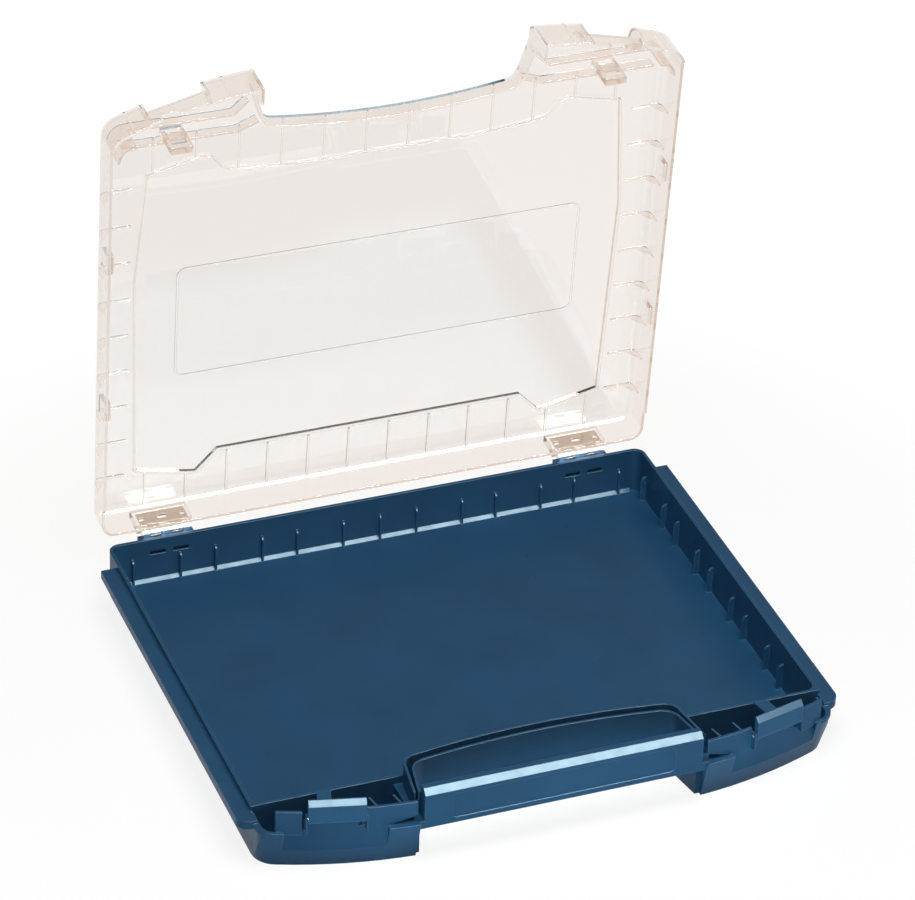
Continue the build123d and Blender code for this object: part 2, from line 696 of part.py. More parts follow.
def leaf_tabs(indexes, z_range):
    """Strips of the leaf's sheet that run into the barrels."""
    for index in indexes:
        x_from = knuckle_edges[index] + (knuckle_gap / 2 if index > 0 else 0)
        x_to = knuckle_edges[index + 1] - (knuckle_gap / 2 if index < 4 else 0)
        with BuildSketch(Plane.XY.offset(z_range[0])) as tab:
            with Locations((hinge_x + (x_from + x_to) / 2, leaf_y + leaf_thickness / 2)):
                Rectangle(x_to - x_from, leaf_thickness)
        extrude(tab.sketch, amount=z_range[1] - z_range[0])


with BuildPart() as right_hinge_base_leaf:
    knuckles((0, 2, 4))
    leaf_tabs((0, 2, 4), (base_leaf_top_z, hinge_z))
    with BuildSketch(Plane.XY.offset(base_leaf_top_z - base_leaf_depth)):
        with Locations((hinge_x, leaf_y + leaf_thickness / 2)):
            Rectangle(2 * hinge_half, leaf_thickness)
    extrude(amount=base_leaf_depth)
    with BuildSketch(Plane.XY.offset(barb_slot_z - barb_size[1] / 2)):
        for x in barb_slot_xs:
            with Locations((hinge_x + x, leaf_y)):
                Rectangle(barb_size[0], 2 * leaf_thickness)
    extrude(amount=barb_size[1])
    with BuildSketch(hinge_section.offset(-hinge_half)):
        Circle(pin_radius + run_gap)
    extrude(amount=2 * hinge_half, mode=Mode.SUBTRACT)

# The lid's leaf is drawn closed, straight above the pin, then swung open with the lid
with BuildPart() as closed_lid_leaf:
    knuckles((1, 3))
    leaf_tabs((1, 3), (hinge_z, lid_leaf_bottom_z))
    with BuildSketch(Plane.XZ.offset(-leaf_y - leaf_thickness)):
        with Locations((hinge_x, lid_leaf_bottom_z + lid_leaf_height / 2)):
            Rectangle(2 * hinge_half, lid_leaf_height)
        for index in (0, 2, 4):
            x_from = knuckle_edges[index] + leaf_hole_margin
            x_to = knuckle_edges[index + 1] - leaf_hole_margin
            with Locations((hinge_x + (x_from + x_to) / 2, hinge_z + leaf_hole_rise)):
                Rectangle(x_to - x_from, leaf_hole_height, mode=Mode.SUBTRACT)
    extrude(amount=leaf_thickness)
    with BuildSketch(hinge_section.offset(-hinge_half)):
        Circle(pin_radius + run_gap)
    extrude(amount=2 * hinge_half, mode=Mode.SUBTRACT)

with BuildPart() as right_hinge_lid_leaf:
    add(closed_lid_leaf.part.moved(lid_frame.location))

with BuildPart() as right_hinge_pin:
    with BuildSketch(hinge_section.offset(-hinge_half)):
        Circle(pin_radius)
    extrude(amount=2 * hinge_half)

# Right latch: a beveled tab on a round foot, and a hooked arm that reaches in under the lid's catch
with BuildPart() as right_latch:
    foot_z = latch_bottom_z + pivot_inset
    with BuildSketch(latch_section.offset(-latch_half)):
        with BuildLine():
            Polyline((0, foot_z), (0, latch_top_z - latch_bevel[1]), (latch_bevel[0], latch_top_z),
                     (latch_thickness, latch_top_z), (latch_thickness, foot_z + pivot_inset),
                     (2 * pivot_inset, foot_z))
            ThreePointArc((2 * pivot_inset, foot_z), (pivot_inset, latch_bottom_z), (0, foot_z))
        make_face()
    extrude(amount=2 * latch_half)
    with BuildSketch(latch_plan.offset(arm_bottom_z)):
        with BuildLine():
            Polyline((arm_left, pivot_inset), (arm_right, pivot_inset),
                     (arm_right, nose_depth - arm_right * arm_slope),
                     (arm_left, nose_depth - arm_left * arm_slope), (arm_left, pivot_inset))
        make_face()
    extrude(amount=arm_thickness)
    with BuildSketch(pivot_line.offset(-latch_half)):
        Circle(latch_pin_radius + run_gap)
    extrude(amount=2 * latch_half, mode=Mode.SUBTRACT)
    spring_end = spring_start + spring_turns * spring_pitch
    with BuildSketch(pivot_line.offset(spring_start - 2 * spring_wire_radius)):
        Circle(spring_radius + spring_wire_radius + seat_gap)
        with Locations((latch_thickness, 0)):
            Rectangle(2 * (latch_thickness - pivot_inset) + latch_thickness,
                      2 * (spring_legs[1] + spring_pitch))
    extrude(amount=spring_end - spring_start + 4 * spring_wire_radius, mode=Mode.SUBTRACT)

with BuildPart() as right_latch_pin:
    with BuildSketch(pivot_line.offset(-cheek_start - cheek_thickness)):
        Circle(latch_pin_radius)
    extrude(amount=2 * (cheek_start + cheek_thickness))

# Spring round the latch pin: a coil with one leg down inside the tray, one up behind the tab
with BuildPart() as upright_spring:
    with BuildLine() as coil:
        Helix(spring_pitch, spring_turns * spring_pitch, spring_radius)
    with BuildSketch(Plane(origin=coil.line @ 0, z_dir=coil.line % 0)):
        Circle(spring_wire_radius)
    sweep(path=coil.line, is_frenet=True)
    with BuildSketch(Plane(origin=coil.line @ 0, z_dir=-(coil.line % 0))):
        Circle(spring_wire_radius)
    extrude(amount=spring_legs[0])
    with BuildSketch(Plane(origin=coil.line @ 1, z_dir=coil.line % 1)):
        Circle(spring_wire_radius)
    extrude(amount=spring_legs[1])

with BuildPart() as right_latch_spring:
    add(upright_spring.part.moved(pivot_line.offset(spring_start).location))

for name, piece in (
        ("hinge_base_leaf", right_hinge_base_leaf), ("hinge_lid_leaf", right_hinge_lid_leaf),
        ("hinge_pin", right_hinge_pin), ("latch", right_latch), ("latch_pin", right_latch_pin),
        ("latch_spring", right_latch_spring)):
    with BuildPart() as left_piece:
        mirror(piece.part, about=Plane.YZ)
    for side, part in (("right", piece.part), ("left", left_piece.part)):
        part.label = f"{side}_{name}"
        export_step(part, f"parts/{part.label}.step")
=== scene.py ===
import math

import bmesh
import bpy
from mathutils import Matrix, Vector


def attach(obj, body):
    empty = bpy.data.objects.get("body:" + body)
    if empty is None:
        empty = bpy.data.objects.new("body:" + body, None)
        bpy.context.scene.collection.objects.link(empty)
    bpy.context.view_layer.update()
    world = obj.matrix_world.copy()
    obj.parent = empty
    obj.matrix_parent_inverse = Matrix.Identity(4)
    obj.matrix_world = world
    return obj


bl_info = {
    "name": "Tool Case",
    "version": (1, 0, 0),
    "blender": (4, 5, 0),
    "location": "View3D > Sidebar > Tool Case",
    "description": "Dresses a flat tool case with a clear hinged lid",
    "category": "Object",
}

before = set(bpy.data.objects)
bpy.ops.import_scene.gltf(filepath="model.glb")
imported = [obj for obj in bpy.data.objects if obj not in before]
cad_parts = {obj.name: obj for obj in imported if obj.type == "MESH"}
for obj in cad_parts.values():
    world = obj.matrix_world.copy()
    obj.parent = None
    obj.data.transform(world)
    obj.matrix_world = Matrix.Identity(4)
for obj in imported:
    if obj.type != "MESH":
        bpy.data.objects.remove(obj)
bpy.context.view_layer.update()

MM = 0.001
PHOTO_WIDTH = 915
SENSOR_WIDTH = 36.0
FLOOR_HALF_WIDTH = 12.0
FLOOR_DROP = 0.3 * MM
CARD_LIFT = 0.001
CAMERA_REACH = 30.0

# Beyond so many passes through the lid, or one mirroring, a ray goes straight on
MOST_LID_PASSES = 6.5
MOST_MIRRORINGS = 0.5


class CasePlasticSettings(bpy.types.PropertyGroup):
    """Moulded plastic of the tray and the latches."""

    tray_color: bpy.props.FloatVectorProperty(
        name="Tray Color", description="Blue of the tray", subtype="COLOR",
        size=3, min=0.0, max=1.0, default=(0.014, 0.068, 0.148))
    latch_color: bpy.props.FloatVectorProperty(
        name="Latch Color", description="Blue of the latches", subtype="COLOR",
        size=3, min=0.0, max=1.0, default=(0.015, 0.074, 0.160))
    tray_clouding: bpy.props.FloatProperty(
        name="Tray Clouding", description="How much the tray's blue varies",
        subtype="FACTOR", min=0.0, max=1.0, default=0.10)
    latch_clouding: bpy.props.FloatProperty(
        name="Latch Clouding", description="How much the latches' blue varies",
        subtype="FACTOR", min=0.0, max=1.0, default=0.06)
    shine: bpy.props.FloatProperty(
        name="Shine", description="Specular level of the moulded faces",
        subtype="FACTOR", min=0.0, max=1.0, default=0.08)
    roughness: bpy.props.FloatProperty(
        name="Roughness", description="Mean roughness of the moulded faces",
        subtype="FACTOR", min=0.0, max=1.0, default=0.34)
    edge_radius: bpy.props.FloatProperty(
        name="Edge Radius", description="Radius that the mould leaves on each edge",
        unit="LENGTH", min=0.0, default=0.6 * MM)
    rough_spread: bpy.props.FloatProperty(
        name="Rough Spread", description="How far the roughness strays from its mean",
        subtype="FACTOR", min=0.0, max=1.0, default=0.07)


class CaseLidSettings(bpy.types.PropertyGroup):
    """Clear plastic of the lid."""

    tint: bpy.props.FloatVectorProperty(
        name="Tint", description="Tint that the clear plastic gives to what is behind it",
        subtype="COLOR", size=3, min=0.0, max=1.0, default=(0.93, 0.885, 0.85))
    ior: bpy.props.FloatProperty(
        name="Refractive Index", description="Refractive index of the clear plastic",
        min=1.0, max=2.0, default=1.49)
    depth_color: bpy.props.FloatVectorProperty(
        name="Depth Color", description="Color that thick places and long edges go towards",
        subtype="COLOR", size=3, min=0.0, max=1.0, default=(0.55, 0.50, 0.46))
    depth_density: bpy.props.FloatProperty(
        name="Depth Density", description="How fast thick places darken, per metre",
        min=0.0, default=16.0)
    edge_radius: bpy.props.FloatProperty(
        name="Edge Radius", description="Radius that the mould leaves on each edge",
        unit="LENGTH", min=0.0, default=0.35 * MM)


class CaseSteelSettings(bpy.types.PropertyGroup):
    """Steel of the hinges, pins and springs."""

    hinge_color: bpy.props.FloatVectorProperty(
        name="Hinge Color", description="Plated steel of the hinges", subtype="COLOR",
        size=3, min=0.0, max=1.0, default=(0.80, 0.785, 0.76))
    spring_color: bpy.props.FloatVectorProperty(
        name="Spring Color", description="Drawn steel of the springs and latch pins",
        subtype="COLOR", size=3, min=0.0, max=1.0, default=(0.55, 0.54, 0.53))
    hinge_roughness: bpy.props.FloatProperty(
        name="Hinge Roughness", description="Roughness of the hinges",
        subtype="FACTOR", min=0.0, max=1.0, default=0.20)
    pin_roughness: bpy.props.FloatProperty(
        name="Pin Roughness", description="Roughness of the latch pins",
        subtype="FACTOR", min=0.0, max=1.0, default=0.30)
    spring_roughness: bpy.props.FloatProperty(
        name="Spring Roughness", description="Roughness of the springs",
        subtype="FACTOR", min=0.0, max=1.0, default=0.28)


class CaseGussetSettings(bpy.types.PropertyGroup):
    """Small gussets behind the front wings."""

    count: bpy.props.IntProperty(
        name="Count", description="Number of gussets behind each wing", min=1, default=2)
    first_x: bpy.props.FloatProperty(
        name="First Gusset", description="Distance of the inner gusset from the middle",
        unit="LENGTH", default=96.8 * MM)
    spacing: bpy.props.FloatProperty(
        name="Spacing", description="Distance between the two gussets of a wing",
        unit="LENGTH", default=13.7 * MM)
    depth: bpy.props.FloatProperty(
        name="Depth", description="How far a gusset reaches back",
        unit="LENGTH", default=13.0 * MM)
    thickness: bpy.props.FloatProperty(
        name="Thickness", description="Thickness of a gusset", unit="LENGTH", default=1.2 * MM)
    bottom: bpy.props.FloatProperty(
        name="Bottom", description="Height of a gusset's foot", unit="LENGTH", default=9.0 * MM)
    top: bpy.props.FloatProperty(
        name="Top", description="Height of a gusset where it meets the wing",
        unit="LENGTH", default=40.1 * MM)
    drop: bpy.props.FloatProperty(
        name="Drop", description="How far the top falls towards the back",
        unit="LENGTH", default=3.5 * MM)
    bow_center_x: bpy.props.FloatProperty(
        name="Bow Center X", description="Middle of the bowed front's arc, from the middle",
        unit="LENGTH", default=67.0 * MM)
    bow_center_y: bpy.props.FloatProperty(
        name="Bow Center Y", description="Middle of the bowed front's arc, front to back",
        unit="LENGTH", default=120.0 * MM)
    bow_radius: bpy.props.FloatProperty(
        name="Bow Radius", description="Radius of the wings' rear faces",
        unit="LENGTH", default=274.6 * MM)


class CaseStageSettings(bpy.types.PropertyGroup):
    """Floor, light and camera."""

    ambient: bpy.props.FloatProperty(
        name="Ambient", description="Strength of the room's light on the object",
        min=0.0, default=0.16)
    top_power: bpy.props.FloatProperty(
        name="Top Power", description="Power of the wide light over the case",
        unit="POWER", min=0.0, default=7.8)
    glint_power: bpy.props.FloatProperty(
        name="Glint Power", description="Power of the strip that edges and bevels mirror",
        unit="POWER", min=0.0, default=215.0)
    front_power: bpy.props.FloatProperty(
        name="Front Power", description="Power of the low light before the case",
        unit="POWER", min=0.0, default=3.0)
    side_power: bpy.props.FloatProperty(
        name="Side Power", description="Power of the low light at the left",
        unit="POWER", min=0.0, default=0.3)
    paper_glow: bpy.props.FloatProperty(
        name="Paper Glow", description="Share of plain white that the camera sees in the floor",
        subtype="FACTOR", min=0.0, max=1.0, default=0.82)
    paper_glow_through: bpy.props.FloatProperty(
        name="Paper Glow Through", description="The same share in mirrors and through the lid",
        subtype="FACTOR", min=0.0, max=1.0, default=0.86)
    view_turn: bpy.props.FloatProperty(
        name="View Turn", description="How far the camera stands to the left of the front",
        unit="ROTATION", default=math.radians(-22.009))
    view_drop: bpy.props.FloatProperty(
        name="View Drop", description="How far the camera looks down",
        unit="ROTATION", default=math.radians(33.402))
    view_roll: bpy.props.FloatProperty(
        name="View Roll", description="How far the camera leans",
        unit="ROTATION", default=math.radians(2.142))
    view_distance: bpy.props.FloatProperty(
        name="View Distance", description="Distance of the camera from the tray",
        unit="LENGTH", min=0.0, default=2800.893 * MM)
    view_right: bpy.props.FloatProperty(
        name="View Right", description="How far the camera stands left of its target",
        unit="LENGTH", default=3.751 * MM)
    view_up: bpy.props.FloatProperty(
        name="View Up", description="How far the camera stands above its target",
        unit="LENGTH", default=-132.743 * MM)
    focal_pixels: bpy.props.FloatProperty(
        name="Focal Length", description="Focal length in pixels of the photograph's width",
        min=1.0, default=4736.413)


SETTINGS = {
    "case_plastic": CasePlasticSettings,
    "case_lid": CaseLidSettings,
    "case_steel": CaseSteelSettings,
    "case_gussets": CaseGussetSettings,
    "case_stage": CaseStageSettings,
}


def new_material(name):
    """An empty node material and its tree."""
    material = bpy.data.materials.new(name)
    material.use_nodes = True
    material.node_tree.nodes.clear()
    return material, material.node_tree


def add_node(tree, kind, place, **values):
    """A node at a place in the tree; values are attributes or named inputs."""
    node = tree.nodes.new(kind)
    node.location = place
    for key, value in values.items():
        if hasattr(node, key):
            setattr(node, key, value)
        else:
            node.inputs[key.replace("_", " ")].default_value = value
    return node


def set_inputs(node, values):
    """Set a node's inputs by their names."""
    for key, value in values.items():
        node.inputs[key].default_value = value


def moulded_plastic(name, color, settings, clouding):
    """Blue moulded plastic: a fine grain, faint clouding, a painted highlight that lightens every edge
    and a soft shine.
    """
    material, tree = new_material(name)
    link = tree.links.new
    place = add_node(tree, "ShaderNodeTexCoord", (-1500, 0))
    clouds = add_node(tree, "ShaderNodeTexNoise", (-1250, 350))
    set_inputs(clouds, {"Scale": 22.0, "Detail": 4.0, "Roughness": 0.55})
    link(place.outputs["Object"], clouds.inputs["Vector"])
    flow = add_node(tree, "ShaderNodeTexNoise", (-1250, 100))
    set_inputs(flow, {"Scale": 160.0, "Detail": 3.0, "Roughness": 0.6})
    link(place.outputs["Object"], flow.inputs["Vector"])
    grain = add_node(tree, "ShaderNodeTexNoise", (-1250, -200))
    set_inputs(grain, {"Scale": 1500.0, "Detail": 2.0, "Roughness": 0.6})
    link(place.outputs["Object"], grain.inputs["Vector"])

    cloud_mix = add_node(tree, "ShaderNodeMix", (-1000, 300), data_type="RGBA", blend_type="MIX")
    set_inputs(cloud_mix, {"A": (*[c * (1.0 - clouding) for c in color], 1.0),
                           "B": (*[c * (1.0 + clouding) for c in color], 1.0)})
    spread = add_node(tree, "ShaderNodeMapRange", (-1150, 520))
    set_inputs(spread, {"From Min": 0.3, "From Max": 0.7})
    link(clouds.outputs["Fac"], spread.inputs["Value"])
    link(spread.outputs["Result"], cloud_mix.inputs["Factor"])

    # Bevel normal against true normal gives a mask of the edges, used below for a painted highlight
    bevel = add_node(tree, "ShaderNodeBevel", (-1000, -450), samples=6)
    set_inputs(bevel, {"Radius": settings.edge_radius})
    geometry = add_node(tree, "ShaderNodeNewGeometry", (-1000, -620))
    facing = add_node(tree, "ShaderNodeVectorMath", (-800, -560), operation="DOT_PRODUCT")
    link(bevel.outputs["Normal"], facing.inputs[0])
    link(geometry.outputs["True Normal"], facing.inputs[1])
    edges = add_node(tree, "ShaderNodeMapRange", (-620, -560))
    set_inputs(edges, {"From Min": 0.98, "From Max": 0.75})
    link(facing.outputs["Value"], edges.inputs["Value"])

    # Painted highlight: a lighter blue laid on every edge, convex and concave alike, in place of light
    # glinting on rounded edges
    edge_highlight = add_node(tree, "ShaderNodeMix", (-380, 250), data_type="RGBA", blend_type="MIX")
    set_inputs(edge_highlight, {"B": (color[0] + 0.04, color[1] * 2.4, color[2] * 2.0, 1.0)})
    link(edges.outputs["Result"], edge_highlight.inputs["Factor"])
    link(cloud_mix.outputs["Result"], edge_highlight.inputs["A"])

    rough = add_node(tree, "ShaderNodeMapRange", (-620, -20))
    set_inputs(rough, {"From Min": 0.25, "From Max": 0.75,
                       "To Min": settings.roughness - settings.rough_spread,
                       "To Max": settings.roughness + settings.rough_spread})
    link(flow.outputs["Fac"], rough.inputs["Value"])

    waves = add_node(tree, "ShaderNodeBump", (-620, -300))
    set_inputs(waves, {"Strength": 0.25, "Distance": 0.06 * MM})
    link(flow.outputs["Fac"], waves.inputs["Height"])
    link(bevel.outputs["Normal"], waves.inputs["Normal"])
    bump = add_node(tree, "ShaderNodeBump", (-400, -300))
    set_inputs(bump, {"Strength": 0.35, "Distance": 0.02 * MM})
    link(grain.outputs["Fac"], bump.inputs["Height"])
    link(waves.outputs["Normal"], bump.inputs["Normal"])

    shader = add_node(tree, "ShaderNodeBsdfPrincipled", (-100, 100))
    set_inputs(shader, {"Specular IOR Level": settings.shine,
                        "Specular Tint": (0.72, 0.95, 1.0, 1.0)})
    link(edge_highlight.outputs["Result"], shader.inputs["Base Color"])
    link(rough.outputs["Result"], shader.inputs["Roughness"])
    link(bump.outputs["Normal"], shader.inputs["Normal"])
    output = add_node(tree, "ShaderNodeOutputMaterial", (200, 100))
    link(shader.outputs["BSDF"], output.inputs["Surface"])
    return material


def clear_plastic(name, settings):
    """Clear moulded plastic that darkens with depth and lets the lamps' light through."""
    material, tree = new_material(name)
    link = tree.links.new
    place = add_node(tree, "ShaderNodeTexCoord", (-1300, 0))
    waves = add_node(tree, "ShaderNodeTexNoise", (-1100, 0))
    set_inputs(waves, {"Scale": 30.0, "Detail": 2.0, "Roughness": 0.45})
    link(place.outputs["Object"], waves.inputs["Vector"])
    haze = add_node(tree, "ShaderNodeTexNoise", (-1100, 300))
    set_inputs(haze, {"Scale": 260.0, "Detail": 4.0, "Roughness": 0.6})
    link(place.outputs["Object"], haze.inputs["Vector"])
    bevel = add_node(tree, "ShaderNodeBevel", (-900, -300), samples=4)
    set_inputs(bevel, {"Radius": settings.edge_radius})
    bump = add_node(tree, "ShaderNodeBump", (-650, -100))
    set_inputs(bump, {"Strength": 0.12, "Distance": 0.04 * MM})
    link(waves.outputs["Fac"], bump.inputs["Height"])
    link(bevel.outputs["Normal"], bump.inputs["Normal"])
    rough = add_node(tree, "ShaderNodeMapRange", (-650, 250))
    set_inputs(rough, {"From Min": 0.3, "From Max": 0.8, "To Min": 0.0, "To Max": 0.03})
    link(haze.outputs["Fac"], rough.inputs["Value"])

    shader = add_node(tree, "ShaderNodeBsdfPrincipled", (-350, 100))
    set_inputs(shader, {"Base Color": (*settings.tint, 1.0), "Transmission Weight": 1.0,
                        "IOR": settings.ior})
    link(rough.outputs["Result"], shader.inputs["Roughness"])
    link(bump.outputs["Normal"], shader.inputs["Normal"])

    through = add_node(tree, "ShaderNodeBsdfTransparent", (-350, 350))
    set_inputs(through, {"Color": (*settings.tint, 1.0)})
    rays = add_node(tree, "ShaderNodeLightPath", (-650, 700))
    deep = add_node(tree, "ShaderNodeMath", (-450, 550), operation="GREATER_THAN")
    deep.inputs[1].default_value = MOST_LID_PASSES
    link(rays.outputs["Transmission Depth"], deep.inputs[0])
    caught = add_node(tree, "ShaderNodeMath", (-450, 400), operation="GREATER_THAN")
    caught.inputs[1].default_value = MOST_MIRRORINGS
    link(rays.outputs["Glossy Depth"], caught.inputs[0])
    lost = add_node(tree, "ShaderNodeMath", (-300, 450), operation="MAXIMUM")
    link(deep.outputs["Value"], lost.inputs[0])
    link(caught.outputs["Value"], lost.inputs[1])
    scattered = add_node(tree, "ShaderNodeMath", (-300, 850), operation="MAXIMUM")
    link(rays.outputs["Is Shadow Ray"], scattered.inputs[0])
    link(rays.outputs["Diffuse Depth"], scattered.inputs[1])
    either = add_node(tree, "ShaderNodeMath", (-150, 650), operation="MAXIMUM", use_clamp=True)
    link(scattered.outputs["Value"], either.inputs[0])
    link(lost.outputs["Value"], either.inputs[1])
    mix = add_node(tree, "ShaderNodeMixShader", (0, 150))
    link(either.outputs["Value"], mix.inputs["Fac"])
    link(shader.outputs["BSDF"], mix.inputs[1])
    link(through.outputs["BSDF"], mix.inputs[2])
    depth = add_node(tree, "ShaderNodeVolumeAbsorption", (-100, -150))
    set_inputs(depth, {"Color": (*settings.depth_color, 1.0), "Density": settings.depth_density})
    output = add_node(tree, "ShaderNodeOutputMaterial", (250, 100))
    link(mix.outputs["Shader"], output.inputs["Surface"])
    link(depth.outputs["Volume"], output.inputs["Volume"])
    return material


def plated_steel(name, color, roughness):
    """Plated sheet steel: fine rolling lines, small dull spots and bright edges."""
    material, tree = new_material(name)
    link = tree.links.new
    place = add_node(tree, "ShaderNodeTexCoord", (-1300, 0))
    stretch = add_node(tree, "ShaderNodeMapping", (-1100, 0))
    set_inputs(stretch, {"Scale": (80.0, 1800.0, 1800.0)})
    link(place.outputs["Object"], stretch.inputs["Vector"])
    lines = add_node(tree, "ShaderNodeTexNoise", (-900, 0))
    set_inputs(lines, {"Scale": 1.0, "Detail": 3.0})
    link(stretch.outputs["Vector"], lines.inputs["Vector"])
    spots = add_node(tree, "ShaderNodeTexNoise", (-900, 300))
    set_inputs(spots, {"Scale": 420.0, "Detail": 3.0, "Roughness": 0.65})
    link(place.outputs["Object"], spots.inputs["Vector"])
    tone = add_node(tree, "ShaderNodeMix", (-600, 300), data_type="RGBA", blend_type="MIX")
    set_inputs(tone, {"A": (*color, 1.0), "B": (*[c * 0.78 for c in color], 1.0)})
    link(spots.outputs["Fac"], tone.inputs["Factor"])
    rough = add_node(tree, "ShaderNodeMapRange", (-600, 50))
    set_inputs(rough, {"From Min": 0.3, "From Max": 0.7,
                       "To Min": roughness - 0.05, "To Max": roughness + 0.08})
    link(spots.outputs["Fac"], rough.inputs["Value"])
    bevel = add_node(tree, "ShaderNodeBevel", (-900, -300), samples=4)
    set_inputs(bevel, {"Radius": 0.2 * MM})
    bump = add_node(tree, "ShaderNodeBump", (-600, -200))
    set_inputs(bump, {"Strength": 0.25, "Distance": 0.01 * MM})
    link(lines.outputs["Fac"], bump.inputs["Height"])
    link(bevel.outputs["Normal"], bump.inputs["Normal"])
    shader = add_node(tree, "ShaderNodeBsdfPrincipled", (-300, 100))
    set_inputs(shader, {"Metallic": 1.0})
    link(tone.outputs["Result"], shader.inputs["Base Color"])
    link(rough.outputs["Result"], shader.inputs["Roughness"])
    link(bump.outputs["Normal"], shader.inputs["Normal"])
    output = add_node(tree, "ShaderNodeOutputMaterial", (0, 100))
    link(shader.outputs["BSDF"], output.inputs["Surface"])
    return material


def material_named(name):
    """A finish that an earlier operator made."""
    material = bpy.data.materials.get(name)
    if material is None:
        raise RuntimeError(f"the finish {name} isn't made yet")
    return material


def finish_node(node, material):
    """Give one CAD node its finish, in every material slot."""
    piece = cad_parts[node]
    if not piece.material_slots:
        piece.data.materials.append(None)
    for slot in piece.material_slots:
        slot.link = "OBJECT"
        slot.material = material


def plain_mesh_from(piece, name):
    """The evaluated result of a piece's modifiers as a plain mesh object, in the piece's place."""
    bpy.context.view_layer.update()
    evaluated = piece.evaluated_get(bpy.context.evaluated_depsgraph_get())
    mesh = bpy.data.meshes.new_from_object(evaluated)
    mesh.name = name
    result = bpy.data.objects.new(name, mesh)
    bpy.context.scene.collection.objects.link(result)
    source = piece.data
    bpy.data.objects.remove(piece)
    bpy.data.meshes.remove(source)
    return result


def empty_piece(name):
    """A mesh object with nothing in it, for a Geometry Nodes modifier to fill."""
    piece = bpy.data.objects.new(name, bpy.data.meshes.new(name))
    bpy.context.scene.collection.objects.link(piece)
    return piece


def tree_with_inputs(name, inputs):
    """A Geometry Nodes tree with its named inputs and one geometry output."""
    tree = bpy.data.node_groups.new(name, "GeometryNodeTree")
    for title, kind, default in inputs:
        socket = tree.interface.new_socket(title, in_out="INPUT", socket_type=kind)
        if default is not None:
            socket.default_value = default
    tree.interface.new_socket("Geometry", in_out="OUTPUT", socket_type="NodeSocketGeometry")
    return tree


def run_tree(piece, tree, values):
    """Put a tree on a piece with its inputs set by their identifiers."""
    modifier = piece.modifiers.new(tree.name, "NODES")
    modifier.node_group = tree
    for item in tree.interface.items_tree:
        if item.in_out == "INPUT" and item.name in values:
            modifier[item.identifier] = values[item.name]
    return modifier


class CASE_OT_tray(bpy.types.Operator):
    """Give the tray its blue moulded plastic"""

    bl_idname = "case.tray"
    bl_label = "Tray"

    def execute(self, context):
        settings = context.scene.case_plastic
        finish_node("base_tray", moulded_plastic(
            "tray_plastic", settings.tray_color, settings, settings.tray_clouding))
        return {"FINISHED"}


class CASE_OT_gussets(bpy.types.Operator):
    """Set the small gussets behind the two front wings"""

    bl_idname = "case.gussets"
    bl_label = "Wing Gussets"

    def execute(self, context):
        settings = context.scene.case_gussets
        piece = empty_piece("wing_gussets")
        run_tree(piece, gusset_tree(), {
            "Count": settings.count, "First": settings.first_x, "Spacing": settings.spacing,
            "Depth": settings.depth, "Thickness": settings.thickness, "Bottom": settings.bottom,
            "Top": settings.top, "Drop": settings.drop, "Bow X": settings.bow_center_x,
            "Bow Y": settings.bow_center_y, "Bow Radius": settings.bow_radius,
            "Material": material_named("tray_plastic")})
        gussets = plain_mesh_from(piece, "front_wing_gussets")
        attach(gussets, "base")
        return {"FINISHED"}


